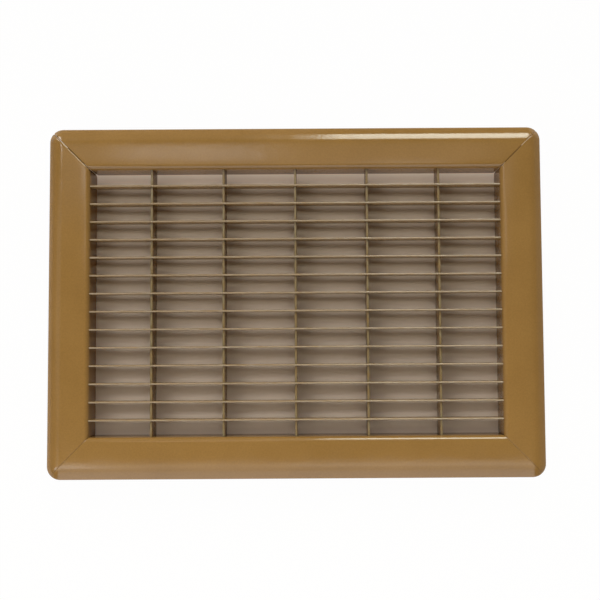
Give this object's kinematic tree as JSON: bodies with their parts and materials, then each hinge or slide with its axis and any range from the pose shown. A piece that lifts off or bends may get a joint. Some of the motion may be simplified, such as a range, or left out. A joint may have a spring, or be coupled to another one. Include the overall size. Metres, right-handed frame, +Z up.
{
  "type": "floor grille",
  "caption": "Drop-in steel floor grille with mitred bevelled rails, a shallow collar and an interlocked core of straight bars on edge, in golden-brown gloss enamel.",
  "frame": {"origin": "middle of the plane of the collar's foot, straight below the middle of the face", "axes": "+Z up, out of the face; +X along the long bars; +Y to the back, the top of the picture"},
  "size_m": [0.3492, 0.2476, 0.0222],
  "materials": {
    "rail_enamel": "gloss",
    "long_bar_enamel": "gloss",
    "cross_bar_enamel": "gloss",
    "plate_enamel": "satin"
  },
  "bodies": {
    "root": {"back_rail": "rail_enamel", "front_rail": "rail_enamel", "left_rail": "rail_enamel", "right_rail": "rail_enamel", "corner_plate_back_left": "plate_enamel", "corner_plate_back_right": "plate_enamel", "corner_plate_front_left": "plate_enamel", "corner_plate_front_right": "plate_enamel", "long_bar_1": "long_bar_enamel", "long_bar_2": "long_bar_enamel", "long_bar_3": "long_bar_enamel", "long_bar_4": "long_bar_enamel", "long_bar_5": "long_bar_enamel", "long_bar_6": "long_bar_enamel", "long_bar_7": "long_bar_enamel", "long_bar_8": "long_bar_enamel", "long_bar_9": "long_bar_enamel", "long_bar_10": "long_bar_enamel", "long_bar_11": "long_bar_enamel", "long_bar_12": "long_bar_enamel", "long_bar_13": "long_bar_enamel", "long_bar_14": "long_bar_enamel", "cross_bar_1": "cross_bar_enamel", "cross_bar_2": "cross_bar_enamel", "cross_bar_3": "cross_bar_enamel", "cross_bar_4": "cross_bar_enamel", "cross_bar_5": "cross_bar_enamel"}
  },
  "joints": []
}
